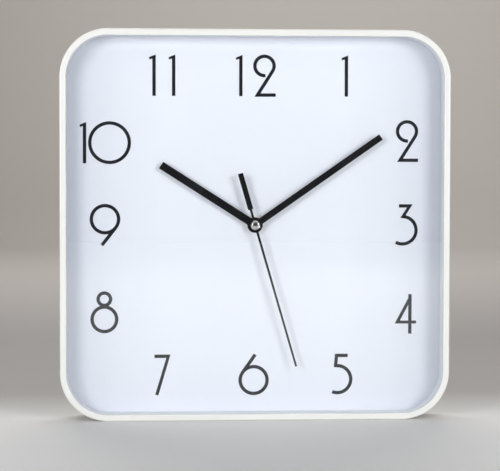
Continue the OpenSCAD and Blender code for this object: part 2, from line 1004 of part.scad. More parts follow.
// Bowed leaf that presses on the battery's flat end
module negative_contact() {
    leaf_w = 8;
    leaf_t = 0.3;
    foot = 4;
    nose = 1;
    nose_out = 1.2;
    slope_t = 2 * leaf_t;
    tip_gap = 0.1;
    reach = cell_left + inner - tip_gap - contact_t;
    color("silver") {
        contact_plate(-inner + press, contact_t);
        layer(cell_m - leaf_w / 2, leaf_w)
            translate([-inner + contact_t, cell_z])
                polygon([
                    [0, -foot], [reach - leaf_t, -nose], [reach - leaf_t, nose], [0, foot],
                    [0, foot + slope_t], [reach, nose_out], [reach, -nose_out], [0, -foot - slope_t]
                ]);
    }
}

// ---------------------------------------------------------------- movement, turning pieces

module hour_wheel() {
    m = module_for(reverse_a, reverse_pinion_z, hour_z);
    front = dial_depth - hour_pipe_h;
    color("linen")
        difference() {
            union() {
                gear([0, 0], m, hour_z, hour_phase, hour_m, hour_wheel_t);
                slab(front, move_d + hour_m - front + eps) circle(hour_pipe_r);
            }
            slab(front - eps, move_d + hour_m + hour_wheel_t - front + 2 * eps)
                circle(minute_arbor_r + running);
        }
}

module minute_arbor() {
    end_gap = 0.1;
    m = module_for(reverse_a, minute_pinion_z, reverse_z);
    front = dial_depth - minute_arbor_h;
    end = move_d + bridge_back_m - end_gap;
    color("linen")
        difference() {
            union() {
                gear([0, 0], m, minute_pinion_z, 0, setting_m, setting_t);
                slab(front, end - front) circle(minute_arbor_r);
            }
            slab(front - eps, end - front + 2 * eps) circle(second_arbor_r + running);
        }
}

module second_wheel() {
    shoulder_r = 1.6;
    shoulder_t = 0.5;
    m_wheel = module_for(fifth_a, fifth_pinion_z, second_z);
    m_pinion = module_for(third_a, second_pinion_z, third_z);
    pinion_m = third_m - pinion_lead;
    front = dial_depth - second_arbor_h;
    end = move_d + second_boss_m + second_boss_t - pinion_over;
    color("linen") {
        gear([0, 0], m_wheel, second_z, 0, second_m, wheel_t);
        gear([0, 0], m_pinion, second_pinion_z, 0, pinion_m, second_m - pinion_m + eps);
        slab(front, end - front) circle(second_arbor_r);
        post([0, 0], shoulder_r, second_m + wheel_t - eps, shoulder_t);
    }
}

module centre_wheel() {
    hub_wall = 1.1;
    hub_t = wheel_t + 3 * pinion_lead;
    m = module_for(third_a, third_pinion_z, centre_z);
    color("linen")
        difference() {
            union() {
                gear([0, 0], m, centre_z, centre_phase, centre_m, wheel_t);
                post([0, 0], minute_arbor_r + hub_wall, centre_m - pinion_lead, hub_t);
            }
            post([0, 0], minute_arbor_r + running, centre_m - pinion_lead - eps, hub_t + 2 * eps);
        }
}

// Arbor with a thin pivot at each end
module pivoted_arbor(at, from, to) {
    post(at, arbor_r, from + pivot_len, to - from - 2 * pivot_len);
    post(at, pivot_r, from, to - from);
}

module third_wheel() {
    m_wheel = module_for(third_a, second_pinion_z, third_z);
    m_pinion = module_for(third_a, third_pinion_z, centre_z);
    color("linen") {
        gear(third_at, m_wheel, third_z, third_phase, third_m, wheel_t);
        gear(third_at, m_pinion, third_pinion_z, third_phase, centre_m - pinion_over, pinion_t);
        pivoted_arbor(third_at, third_front_m, third_back_m);
    }
}

module fifth_wheel() {
    m_wheel = module_for(fifth_a, rotor_z, fifth_z);
    m_pinion = module_for(fifth_a, fifth_pinion_z, second_z);
    pinion_m = second_m - pinion_over;
    color("linen") {
        gear(fifth_at, m_wheel, fifth_z, fifth_phase, fifth_m, wheel_t);
        gear(fifth_at, m_pinion, fifth_pinion_z, fifth_phase, pinion_m, fifth_m - pinion_m + eps);
        pivoted_arbor(fifth_at, fifth_front_m, fifth_back_m);
    }
}

module rotor_magnet() {
    color("dimgray")
        layer(magnet_m, magnet_t)
            translate(rotor_at)
                ring(magnet_r, arbor_r + press);
}

module rotor_pinion() {
    m = module_for(fifth_a, rotor_z, fifth_z);
    color("linen") {
        gear(rotor_at, m, rotor_z, rotor_phase, fifth_m - pinion_over, pinion_t);
        pivoted_arbor(rotor_at, rotor_front_m, rotor_back_m);
    }
}

module reverse_wheel() {
    m_wheel = module_for(reverse_a, minute_pinion_z, reverse_z);
    m_pinion = module_for(reverse_a, reverse_pinion_z, hour_z);
    from = reverse_pinion_m;
    color("linen")
        difference() {
            union() {
                gear(reverse_at, m_wheel, reverse_z, reverse_phase, reverse_m, reverse_wheel_t);
                gear(reverse_at, m_pinion, reverse_pinion_z, reverse_phase, from, reverse_m - from + eps);
            }
            post(reverse_at, stud_r + running, from - eps, reverse_end_m - from + 2 * eps);
        }
}

module setting_knob() {
    m = module_for(reverse_a, reverse_z, knob_z);
    grips = 16;
    grip_r = 0.5;
    grip_out = 0.1;
    knob_t = 2.4;
    knob_gap = 0.2;
    shaft_m = reverse_m - 0.3;
    knob_m = move_t + knob_gap;
    color("#1b1b1d") {
        gear(knob_at, m, knob_z, knob_phase, setting_m, setting_t);
        post(knob_at, knob_shaft_r, shaft_m, knob_m - shaft_m + eps);
        post(knob_at, pivot_r, knob_front_m, shaft_m - knob_front_m + eps);
        layer(knob_m, knob_t)
            translate(knob_at)
                difference() {
                    circle(knob_r);
                    for (i = [0:grips - 1])
                        rotate(360 * i / grips) translate([knob_r + grip_out, 0]) circle(grip_r);
                }
    }
}

// Cylindrical cell that lies along X, with its button on the right
module battery_cell() {
    crimp = 0.6;
    shoulder = cell_len - button_len;
    color("#2f6f4f")
        translate([cell_left, move_d + cell_m - clock_d / 2, clock_h / 2 + cell_z])
            rotate([90, 0, 90])
                rotate_extrude()
                    polygon([
                        [0, 0], [cell_r - crimp, 0], [cell_r, crimp], [cell_r, shoulder - crimp],
                        [cell_r - crimp, shoulder], [button_r, shoulder], [button_r, cell_len], [0, cell_len]
                    ]);
}

// ---------------------------------------------------------------- nodes

case_frame();
lens_glass();
reveal_ring();
dial_sheet();
numerals();
dial_plate();
back_cover();
cover_screws();
rubber_washer();
brass_washer();
hex_nut();
threaded_bush();
movement_front_case();
movement_back_case();
middle_plate();
stator();
coil_core();
coil_bobbin();
coil_winding();
circuit_board();
clock_chip();
quartz_crystal();
positive_contact();
negative_contact();
hour_hand();
hour_wheel();
minute_hand();
minute_arbor();
second_hand();
centre_cap();
second_wheel();
centre_wheel();
third_wheel();
fifth_wheel();
rotor_magnet();
rotor_pinion();
reverse_wheel();
setting_knob();
battery_cell();
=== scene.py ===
# Looks of a square quartz wall clock, in metres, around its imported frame.
# X right, Y from the face to the wall, Z up; the clock stands on Z = 0.

import math

import bmesh
import bpy
from mathutils import Euler, Matrix, Vector


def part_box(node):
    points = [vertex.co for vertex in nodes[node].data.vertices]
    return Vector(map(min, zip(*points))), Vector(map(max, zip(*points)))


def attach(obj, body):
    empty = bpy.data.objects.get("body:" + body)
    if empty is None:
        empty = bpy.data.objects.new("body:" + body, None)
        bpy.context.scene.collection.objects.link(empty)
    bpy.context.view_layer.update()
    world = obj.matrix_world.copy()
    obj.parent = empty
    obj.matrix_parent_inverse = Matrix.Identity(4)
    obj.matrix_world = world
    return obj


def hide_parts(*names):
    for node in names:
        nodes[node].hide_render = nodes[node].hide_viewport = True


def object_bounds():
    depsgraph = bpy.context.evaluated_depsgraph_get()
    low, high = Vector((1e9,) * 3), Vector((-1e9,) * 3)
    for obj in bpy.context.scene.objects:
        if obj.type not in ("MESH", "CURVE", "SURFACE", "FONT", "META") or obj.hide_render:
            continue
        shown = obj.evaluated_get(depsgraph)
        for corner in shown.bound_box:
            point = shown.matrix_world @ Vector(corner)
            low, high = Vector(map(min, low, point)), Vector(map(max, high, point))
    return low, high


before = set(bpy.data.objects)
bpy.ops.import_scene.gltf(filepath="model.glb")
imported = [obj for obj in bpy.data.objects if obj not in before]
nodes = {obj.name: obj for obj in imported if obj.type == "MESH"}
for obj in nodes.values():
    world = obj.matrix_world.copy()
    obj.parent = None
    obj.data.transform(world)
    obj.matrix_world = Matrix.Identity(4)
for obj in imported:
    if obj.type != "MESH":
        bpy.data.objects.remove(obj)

cad_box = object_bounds()
mm = 0.001


# ---------------------------------------------------------------- camera
# A long lens a little above and to the left of the clock's centre, turned back towards it and
# dipped a little.

camera_place = Vector((-0.0871, -1.3698, 0.1995))
camera_turn = math.radians(3.496)
camera_dip = math.radians(2.416)
camera_roll = math.radians(0.098)
camera_lens = 127.2
sensor_width = 36

camera = bpy.data.objects.new("camera", bpy.data.cameras.new("camera"))
camera.data.lens = camera_lens
camera.data.sensor_width = sensor_width
aim = Euler((math.radians(90) - camera_dip, 0, -camera_turn)).to_matrix()
roll = Matrix.Rotation(camera_roll, 3, "Z")
camera.matrix_world = Matrix.Translation(camera_place) @ (aim @ roll).to_4x4()
bpy.context.scene.collection.objects.link(camera)
bpy.context.scene.camera = camera
bpy.context.scene.view_settings.view_transform = "Standard"


# ---------------------------------------------------------------- studio
# A wide sheet of seamless paper: a pale floor under the clock that shades into warm grey behind
# it and curves up into a wall. Two softboxes stand at the sides, a weak one hangs over the front,
# a strong one hangs behind and above the clock, and a lamp out of view lights the wall.

paper_reach = 3.5
paper_front = -3.0
paper_turn_at = 2.6
paper_turn_radius = 0.8
paper_height = 2.6
paper_steps = 24
backdrop_grey = (0.36, 0.345, 0.33)
wall_lamp_place = (0.45, 2.3, 1.7)
wall_lamp_tilt = math.radians(48)


def add(tree, kind, inputs=(), **settings):
    """Adds a shader node; each input takes a plain value or another node's output."""
    made = tree.nodes.new("ShaderNode" + kind)
    for name, value in settings.items():
        setattr(made, name, value)
    for name, value in dict(inputs).items():
        if isinstance(value, bpy.types.NodeSocket):
            tree.links.new(value, made.inputs[name])
        else:
            made.inputs[name].default_value = value
    return made


def ramp(tree, value, *stops):
    """Colour that changes with a value, through (position, colour) stops."""
    made = add(tree, "ValToRGB", {"Fac": value})
    elements = made.color_ramp.elements
    while len(elements) < len(stops):
        elements.new(0.5)
    for element, (position, colour) in zip(elements, stops):
        element.position = position
        element.color = (*colour, 1)
    return made.outputs["Color"]


def span(tree, value, low, high, start=0.0, end=1.0):
    """Carries a value from start..end over to low..high."""
    made = add(tree, "MapRange", {
        "Value": value, "From Min": start, "From Max": end, "To Min": low, "To Max": high,
    })
    return made.outputs["Result"]


def noise(tree, point, scale, detail, **more):
    """Soft random mottling, about 0.3 to 0.7."""
    return add(tree, "TexNoise", {"Vector": point, "Scale": scale, "Detail": detail, **more}).outputs["Fac"]


def blend_colours(tree, mask, first, second):
    """First colour where the mask is 0, second where it is 1."""
    made = add(tree, "Mix", data_type="RGBA")
    tree.links.new(mask, made.inputs["Factor"])
    for socket, value in ((made.inputs[6], first), (made.inputs[7], second)):
        if isinstance(value, bpy.types.NodeSocket):
            tree.links.new(value, socket)
        else:
            socket.default_value = (*value, 1)
    return made.outputs[2]


def relief(tree, shader, height, strength, distance):
    """Raises a surface by a height texture; distance is its depth in metres."""
    bump = add(tree, "Bump", {"Height": height, "Strength": strength, "Distance": distance})
    tree.links.new(bump.outputs["Normal"], shader.inputs["Normal"])


def blank_material(name):
    """A new material with its node tree and its Principled shader."""
    material = bpy.data.materials.new(name)
    material.use_nodes = True
    return material, material.node_tree, material.node_tree.nodes["Principled BSDF"]


def object_point(tree):
    """Place on the object, in metres."""
    return add(tree, "TexCoord").outputs["Object"]


def new_piece(name, bm, material, body="case"):
    """Turns a finished bmesh into a piece that rides on a body."""
    mesh = bpy.data.meshes.new(name)
    bm.to_mesh(mesh)
    bm.free()
    mesh.materials.append(material)
    piece = bpy.data.objects.new(name, mesh)
    bpy.context.scene.collection.objects.link(piece)
    if body:
        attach(piece, body)
    return piece


def geometry_of(made, kind, key="geom"):
    """The vertices or edges among what a bmesh operator returned."""
    return [item for item in made[key] if isinstance(item, kind)]


paper, tree, shader = blank_material("studio_paper")
point = object_point(tree)
behind = add(tree, "SeparateXYZ", {"Vector": point}).outputs["Y"]
fibre = noise(tree, point, 900.0, 3.0)
shade = ramp(
    tree, span(tree, behind, 0, 1, -0.2, 1.8),
    (0.0, (0.90, 0.888, 0.872)), (0.1, (0.84, 0.822, 0.80)), (0.17, (0.52, 0.495, 0.475)),
    (0.4, (0.43, 0.405, 0.385)), (1.0, (0.47, 0.44, 0.405)),
)
tree.links.new(shade, shader.inputs["Base Color"])
relief(tree, shader, fibre, 0.1, 0.2 * mm)
shader.inputs["Roughness"].default_value = 0.9

bm = bmesh.new()
front_edge = bm.verts.new((-paper_reach, paper_front, 0))
foot = bm.verts.new((-paper_reach, paper_turn_at, 0))
bm.edges.new((front_edge, foot))
rise = bmesh.ops.spin(
    bm, geom=[foot], cent=(0, paper_turn_at, paper_turn_radius), axis=(1, 0, 0),
    angle=math.radians(90), steps=paper_steps, use_merge=False, use_duplicate=False,
)
top = bm.verts.new((-paper_reach, paper_turn_at + paper_turn_radius, paper_height))
bm.edges.new((geometry_of(rise, bmesh.types.BMVert, "geom_last")[0], top))
spread = bmesh.ops.extrude_edge_only(bm, edges=bm.edges[:])
bmesh.ops.translate(bm, verts=geometry_of(spread, bmesh.types.BMVert), vec=(2 * paper_reach, 0, 0))
bmesh.ops.recalc_face_normals(bm, faces=bm.faces[:])
for face in bm.faces:
    face.smooth = True
sweep = new_piece("paper_sweep", bm, paper, body=None)

centre = Vector((0, 0, sum(corner.z for corner in cad_box) / 2))


def area_light(name, width, height, power):
    """A rectangular light that the camera doesn't see."""
    light = bpy.data.objects.new(name, bpy.data.lights.new(name, "AREA"))
    light.data.shape = "RECTANGLE"
    light.data.size = width
    light.data.size_y = height
    light.data.energy = power
    light.visible_camera = False
    bpy.context.scene.collection.objects.link(light)
    return light


def softbox(name, azimuth, elevation, distance, width, height, power):
    """An area light that faces the clock, from an angle off the face's normal."""
    light = area_light(name, width, height, power)
    side, up = math.radians(azimuth), math.radians(elevation)
    away = Vector((math.sin(side) * math.cos(up), -math.cos(side) * math.cos(up), math.sin(up)))
    light.location = centre + away * distance
    light.rotation_euler = (-away).to_track_quat("-Z", "Y").to_euler()


softbox("softbox_left", -34, 9.5, 2.1, 0.80, 0.8, 18.6)
softbox("softbox_right", 34, 9.5, 2.1, 0.80, 0.8, 18.2)
softbox("softbox_above", 0, 50, 1.7, 1.6, 0.7, 4.0)
softbox("softbox_back", 180, 42, 2.2, 2.0, 1.0, 26)

wall_lamp = area_light("wall_lamp", 2.0, 0.4, 23)
wall_lamp.location = wall_lamp_place
wall_lamp.rotation_euler = (wall_lamp_tilt, 0, 0)

world = bpy.data.worlds.new("studio_air")
world.use_nodes = True
sky = world.node_tree
facing_room = add(sky, "SeparateXYZ", {"Vector": add(sky, "TexCoord").outputs["Generated"]}).outputs["Y"]
air = ramp(
    sky, span(sky, facing_room, 0, 1, -1, 1),
    (0.0, (0.05, 0.05, 0.055)), (0.06, (0.07, 0.07, 0.075)),
    (0.3, (0.13, 0.133, 0.14)), (1.0, (0.13, 0.133, 0.14)),
)
first_sight = add(sky, "LightPath").outputs["Is Camera Ray"]
room = blend_colours(sky, first_sight, air, backdrop_grey)
sky.links.new(room, sky.nodes["Background"].inputs["Color"])
bpy.context.scene.world = world


# ---------------------------------------------------------------- case frame
# The white surround of the clock: one injection-moulded shell of glossy ivory plastic with a
# narrow front rim that holds the glass. Four bosses inside its corners take the cover screws.

corner_radius = 37 * mm
rim_width = 5 * mm
rim_thickness = 2.5 * mm
wall = 2.5 * mm
corner_steps = 20
case_low, case_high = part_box("case_frame")
reach_x = (case_high.x - case_low.x) / 2 - corner_radius
reach_z = (case_high.z - case_low.z) / 2 - corner_radius


def shader_group(name, inputs, outputs):
    """An empty node group with (name, default) inputs and named outputs."""
    group = bpy.data.node_groups.new(name, "ShaderNodeTree")
    for title, value in inputs:
        kind = "NodeSocketVector" if value is None else "NodeSocketFloat"
        made = group.interface.new_socket(title, in_out="INPUT", socket_type=kind)
        if value is not None:
            made.default_value = value
    for title in outputs:
        group.interface.new_socket(title, in_out="OUTPUT", socket_type="NodeSocketFloat")
    return group, group.nodes.new("NodeGroupInput").outputs, group.nodes.new("NodeGroupOutput").inputs


def make_moulded_skin():
    """Fine grain, slow flow marks and uneven shine of a moulded face."""
    group, given, result = shader_group(
        "moulded_skin", [("Vector", None), ("Grain", 1500.0), ("Flow", 40.0)], ["Tone", "Shine", "Height"],
    )
    fine = noise(group, given["Vector"], given["Grain"], 2.0)
    slow = noise(group, given["Vector"], given["Flow"], 4.0, Roughness=0.55)
    both = add(group, "Math", {0: fine, 1: slow}, operation="ADD")
    half = add(group, "Math", {0: both.outputs[0], 1: 0.5}, operation="MULTIPLY")
    group.links.new(slow, result["Tone"])
    group.links.new(half.outputs[0], result["Shine"])
    group.links.new(fine, result["Height"])
    return group


def make_edge_rub():
    """Mask of the narrow band along an edge where handling has rubbed the finish."""
    group, given, result = shader_group("edge_rub", [("Vector", None), ("Width", 0.3 * mm)], ["Mask"])
    rounded = add(group, "Bevel", {"Radius": given["Width"]}, samples=6)
    facing = add(group, "NewGeometry").outputs["Normal"]
    along = add(group, "VectorMath", {0: rounded.outputs["Normal"], 1: facing}, operation="DOT_PRODUCT")
    band = span(group, along.outputs["Value"], 1.0, 0.0, 0.75, 0.98)
    breaks = noise(group, given["Vector"], 350.0, 3.0)
    worn = span(group, breaks, 0.0, 1.0, 0.42, 0.62)
    mask = add(group, "Math", {0: band, 1: worn}, operation="MULTIPLY", use_clamp=True)
    group.links.new(mask.outputs[0], result["Mask"])
    return group


moulded_skin = make_moulded_skin()
edge_rub = make_edge_rub()


def moulded(name, dark, light, shine, grain, flow, depth, rub=None, rub_width=0.3 * mm):
    """Injection-moulded plastic: two close tones, a range of roughness, a skin, and pale rubbed edges."""
    material, tree, shader = blank_material(name)
    point = object_point(tree)
    skin = add(tree, "Group", node_tree=moulded_skin)
    tree.links.new(point, skin.inputs["Vector"])
    skin.inputs["Grain"].default_value = grain
    skin.inputs["Flow"].default_value = flow
    colour = ramp(tree, skin.outputs["Tone"], (0.3, dark), (0.7, light))
    if rub:
        wear = add(tree, "Group", node_tree=edge_rub)
        tree.links.new(point, wear.inputs["Vector"])
        wear.inputs["Width"].default_value = rub_width
        colour = blend_colours(tree, wear.outputs["Mask"], colour, rub)
    tree.links.new(colour, shader.inputs["Base Color"])
    tree.links.new(span(tree, skin.outputs["Shine"], *shine, 0.3, 0.7), shader.inputs["Roughness"])
    relief(tree, shader, skin.outputs["Height"], 0.6, depth)
    return material


case_plastic = moulded(
    "case_plastic", (0.83, 0.835, 0.81), (0.86, 0.865, 0.84), (0.16, 0.24), 260.0, 12.0, 0.006 * mm,
)
case_shader = case_plastic.node_tree.nodes["Principled BSDF"]
case_shader.inputs["Coat Weight"].default_value = 0.35
case_shader.inputs["Coat Roughness"].default_value = 0.08


def case_outline(points, segments=6):
    """Closed outline at the foot of the case's right side, from (inset, depth, rounding) corners."""
    bm = bmesh.new()
    corners = [
        bm.verts.new((case_high.x - inset, case_low.y + depth, case_low.z + corner_radius))
        for inset, depth, _ in points
    ]
    bm.faces.new(corners)
    for corner, (_, _, rounding) in zip(corners, points):
        if rounding:
            bmesh.ops.bevel(
                bm, geom=[corner], offset=rounding, segments=segments,
                profile=0.5, affect="VERTICES", material=-1,
            )
    bmesh.ops.delete(bm, geom=bm.faces[:], context="FACES_ONLY")
    return bm


def carry_round_case(bm):
    """Carries the outline once round the case: four straight sides and four quarter turns."""
    middle = (case_low.z + case_high.z) / 2
    sides = [
        (Vector((0, 0, 2 * reach_z)), (reach_x, 0, middle + reach_z)),
        (Vector((-2 * reach_x, 0, 0)), (-reach_x, 0, middle + reach_z)),
        (Vector((0, 0, -2 * reach_z)), (-reach_x, 0, middle - reach_z)),
        (Vector((2 * reach_x, 0, 0)), (reach_x, 0, middle - reach_z)),
    ]
    outline = bm.edges[:]
    for way, turn_centre in sides:
        run = bmesh.ops.extrude_edge_only(bm, edges=outline)
        ends = geometry_of(run, bmesh.types.BMVert)
        bmesh.ops.translate(bm, verts=ends, vec=way)
        turn = bmesh.ops.spin(
            bm, geom=ends + geometry_of(run, bmesh.types.BMEdge), cent=turn_centre, axis=(0, 1, 0),
            angle=-math.radians(90), steps=corner_steps, use_merge=False, use_duplicate=False,
        )
        outline = geometry_of(turn, bmesh.types.BMEdge, "geom_last")
    bmesh.ops.remove_doubles(bm, verts=bm.verts[:], dist=1e-6)
    bmesh.ops.recalc_face_normals(bm, faces=bm.faces[:])
    for face in bm.faces:
        face.smooth = True


def weigh_normals(piece):
    """Keeps broad faces flat in the shading and leaves the bend to the rounded edges."""
    piece.modifiers.new("even_shading", "WEIGHTED_NORMAL").keep_sharp = True


case_depth = case_high.y - case_low.y
bm = case_outline([
    (0, 0, 1.5 * mm), (0, case_depth, 0.5 * mm), (wall, case_depth, 0.3 * mm),
    (wall, rim_thickness, 0.25 * mm), (rim_width, rim_thickness, 0.2 * mm), (rim_width, 0, 0.8 * mm),
])
carry_round_case(bm)
case_shell = new_piece("case_shell", bm, case_plastic)
weigh_normals(case_shell)
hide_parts("case_frame")

# The bosses are part of the same moulding: blind tubes that stand in the corners, each with
# a small rounding at its mouth and a countersunk start for the self-tapping screw.

screw_low, screw_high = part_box("cover_screws")
head_radius = 2.8 * mm
boss_radius = 4 * mm
boss_bore = 1.48 * mm
boss_gap = 1 * mm
cover_thickness = 2.5 * mm
bore_depth = 12 * mm
boss_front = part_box("dial_plate")[1].y + boss_gap
boss_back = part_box("back_cover")[1].y - cover_thickness
boss_places = [
    (x, z)
    for x in (screw_low.x + head_radius, screw_high.x - head_radius)
    for z in (screw_low.z + head_radius, screw_high.z - head_radius)
]


def turned_on(bm, x, z, outline, steps=48):
    """Turns an outline of (radius, depth) points about a line square to the face at (x, z)."""
    points = [bm.verts.new((x + radius, y, z)) for radius, y in outline]
    edges = [bm.edges.new(pair) for pair in zip(points, points[1:])]
    bmesh.ops.spin(
        bm, geom=points + edges, cent=(x, 0, z), axis=(0, 1, 0),
        angle=math.radians(360), steps=steps, use_merge=True, use_duplicate=False,
    )


def close_up(bm, sharp=math.radians(40)):
    """Merges seams and poles, points the faces outwards, and shades all but the sharp edges smooth."""
    bmesh.ops.remove_doubles(bm, verts=bm.verts[:], dist=2e-6)
    bmesh.ops.dissolve_degenerate(bm, edges=bm.edges[:], dist=1e-7)
    bmesh.ops.recalc_face_normals(bm, faces=bm.faces[:])
    for face in bm.faces:
        face.smooth = True
    for edge in bm.edges:
        edge.smooth = len(edge.link_faces) != 2 or edge.calc_face_angle() < sharp


bm = bmesh.new()
lead = 0.4 * mm
for x, z in boss_places:
    turned_on(bm, x, z, [
        (boss_bore, boss_back - bore_depth), (boss_bore, boss_back - lead), (boss_bore + lead, boss_back),
        (boss_radius - lead / 2, boss_back), (boss_radius, boss_back - lead / 2),
        (boss_radius, boss_front), (0, boss_front),
    ])
    turned_on(bm, x, z, [(0, boss_back - bore_depth), (boss_bore, boss_back - bore_depth)])
close_up(bm)
new_piece("screw_bosses", bm, case_plastic)


# ---------------------------------------------------------------- inner wall
# A second white moulding, a deep ring between the glass and the dial. It hides the case wall,
# presses the dial back, and has a small shadow groove at its foot.

ring_low, ring_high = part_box("reveal_ring")
ring_wall = rim_width - (ring_low.x - case_low.x)
groove = 0.8 * mm

bm = case_outline([
    (rim_width - ring_wall, ring_low.y - case_low.y, 0.3 * mm),
    (rim_width - ring_wall, ring_high.y - case_low.y, 0.2 * mm),
    (rim_width - groove, ring_high.y - case_low.y, 0.1 * mm),
    (rim_width - groove, ring_high.y - groove - case_low.y, 0.1 * mm),
    (rim_width, ring_high.y - groove - case_low.y, 0.25 * mm),
    (rim_width, ring_low.y - case_low.y, 0.3 * mm),
], segments=4)
carry_round_case(bm)
ring_plastic = moulded(
    "ring_plastic", (0.75, 0.765, 0.80), (0.78, 0.795, 0.83), (0.34, 0.46), 1400.0, 25.0, 0.01 * mm,
)
reveal_wall = new_piece("reveal_wall", bm, ring_plastic)
weigh_normals(reveal_wall)
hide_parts("reveal_ring")


# ---------------------------------------------------------------- glass
# Clear float glass, cut square with round corners and its edges ground to a narrow arris.
# It lies in the case against the back of the rim.

pane_low, pane_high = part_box("lens_glass")
arris = 0.3 * mm


def rounded_plate(low, high, corner, edge, segments=24):
    """A plate between two corners of its box, with round corners and eased front and back edges."""
    bm = bmesh.new()
    bmesh.ops.create_cube(bm, size=1)
    bmesh.ops.scale(bm, verts=bm.verts[:], vec=high - low)
    bmesh.ops.translate(bm, verts=bm.verts[:], vec=(high + low) / 2)
    through = [e for e in bm.edges if abs(e.verts[0].co.y - e.verts[1].co.y) > (high.y - low.y) / 2]
    bmesh.ops.bevel(
        bm, geom=through, offset=corner, segments=segments, profile=0.5, affect="EDGES", material=-1,
    )
    rims = [e for e in bm.edges if e.calc_face_angle(0) > math.radians(60)]
    bmesh.ops.bevel(
        bm, geom=rims, offset=edge, segments=2, profile=0.5, affect="EDGES", material=-1,
    )
    close_up(bm)
    return bm


glass, tree, shader = blank_material("float_glass")
point = object_point(tree)
shader.inputs["Transmission Weight"].default_value = 1.0
shader.inputs["IOR"].default_value = 1.52
shader.inputs["Base Color"].default_value = (0.985, 0.995, 0.992, 1)
smears = noise(tree, point, 14.0, 5.0, Distortion=1.5)
tree.links.new(span(tree, smears, 0.0, 0.02, 0.5, 0.75), shader.inputs["Roughness"])
clear = add(tree, "BsdfTransparent", {"Color": (0.97, 0.985, 0.98, 1)})
ray = add(tree, "LightPath").outputs
lamp_ray = add(tree, "Math", {0: ray["Is Shadow Ray"], 1: ray["Is Diffuse Ray"]}, operation="MAXIMUM")
either = add(tree, "MixShader", {
    0: lamp_ray.outputs[0], 1: shader.outputs["BSDF"], 2: clear.outputs["BSDF"],
})
tree.links.new(either.outputs[0], tree.nodes["Material Output"].inputs["Surface"])

glass_pane = new_piece(
    "glass_pane", rounded_plate(pane_low, pane_high, corner_radius - (pane_low.x - case_low.x), arris),
    glass,
)
weigh_normals(glass_pane)
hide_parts("lens_glass")


# ---------------------------------------------------------------- dial
# A smooth bluish-white printed sheet, with painted shade that greys it towards its left and right
# sides, and the stiff moulded plate behind it that keeps it flat. Both are trapped by the inner wall.


def dress(node, material):
    """Gives a CAD node its material."""
    for slot in nodes[node].material_slots:
        slot.material = material


def ease(node, radius, segments=2):
    """Rounds a CAD node's sharp edges as the tool or the press leaves them."""
    piece = nodes[node]
    piece.modifiers.new("whole_faces", "WELD").merge_threshold = 1e-6
    rounding = piece.modifiers.new("eased_edges", "BEVEL")
    rounding.width = radius
    rounding.segments = segments
    rounding.limit_method = "ANGLE"
    rounding.angle_limit = math.radians(40)
    rounding.harden_normals = True


# Painted shade: from 70 mm to 145 mm off the centre line the sheet's colour turns greyer, standing in for the
# shade that the inner wall casts at its sides.
side_shade_from = 70 * mm
side_shade_to = 145 * mm
dial_paper, tree, shader = blank_material("dial_paper")
point = object_point(tree)
pulp = noise(tree, point, 1800.0, 4.0, Roughness=0.6)
cloud = noise(tree, point, 9.0, 2.0)
paper_white = ramp(tree, cloud, (0.3, (0.865, 0.878, 0.982)), (0.7, (0.88, 0.893, 0.992)))
across = add(tree, "SeparateXYZ", {"Vector": point}).outputs["X"]
sideways = add(tree, "Math", {0: across}, operation="ABSOLUTE").outputs[0]
painted_side_shade = ramp(
    tree, span(tree, sideways, 0, 1, side_shade_from, side_shade_to),
    (0.0, (0.0, 0.0, 0.0)), (0.45, (0.25, 0.25, 0.25)), (1.0, (1.0, 1.0, 1.0)),
)
# The greyer colour at the sides is painted shade, not a tint of the paper.
tree.links.new(blend_colours(tree, painted_side_shade, paper_white, (0.66, 0.675, 0.765)), shader.inputs["Base Color"])
tree.links.new(span(tree, pulp, 0.42, 0.52, 0.3, 0.7), shader.inputs["Roughness"])
relief(tree, shader, pulp, 0.35, 0.01 * mm)
dress("dial_sheet", dial_paper)

dress("dial_plate", moulded(
    "dial_board", (0.56, 0.57, 0.58), (0.62, 0.63, 0.64), (0.5, 0.65), 900.0, 18.0, 0.02 * mm,
))


# ---------------------------------------------------------------- numerals
# Screen-printed in one pass of blue-black ink that stands a little proud of the sheet, with the
# faint mottling that the mesh of the screen leaves.

ink, tree, shader = blank_material("screen_ink")
point = object_point(tree)
mottle = noise(tree, point, 1200.0, 3.0)
blue_black = ramp(tree, mottle, (0.35, (0.003, 0.004, 0.008)), (0.7, (0.007, 0.0085, 0.014)))
tree.links.new(blue_black, shader.inputs["Base Color"])
tree.links.new(span(tree, mottle, 0.3, 0.42, 0.3, 0.7), shader.inputs["Roughness"])
shader.inputs["Specular IOR Level"].default_value = 0.2
mesh_print = add(tree, "TexVoronoi", {"Vector": point, "Scale": 2600.0}).outputs["Distance"]
relief(tree, shader, mesh_print, 0.3, 0.01 * mm)
dress("numerals", ink)


# ---------------------------------------------------------------- centre fixing
# A threaded brass bush carries the movement: it comes through the plate and the dial, and a
# brass washer and hex nut draw it tight against a rubber washer behind.

axis_z = sum(corner.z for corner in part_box("centre_cap")) / 2


def make_lathe_marks():
    """Fine rings that a tool leaves on turned metal, about the movement's axis."""
    group, given, result = shader_group(
        "lathe_marks", [("Vector", None), ("Rings", 4000.0)], ["Tone", "Height"],
    )
    on_axis = add(group, "Mapping", {"Vector": given["Vector"], "Location": (0, 0, -axis_z)})
    rings = add(
        group, "TexWave", {"Vector": on_axis.outputs["Vector"], "Scale": given["Rings"], "Distortion": 0.4},
        wave_type="RINGS", rings_direction="Y",
    )
    patches = noise(group, given["Vector"], 500.0, 3.0)
    mixed = add(group, "Math", {0: rings.outputs["Fac"], 1: patches}, operation="MULTIPLY")
    group.links.new(mixed.outputs[0], result["Tone"])
    group.links.new(rings.outputs["Fac"], result["Height"])
    return group


lathe_marks = make_lathe_marks()


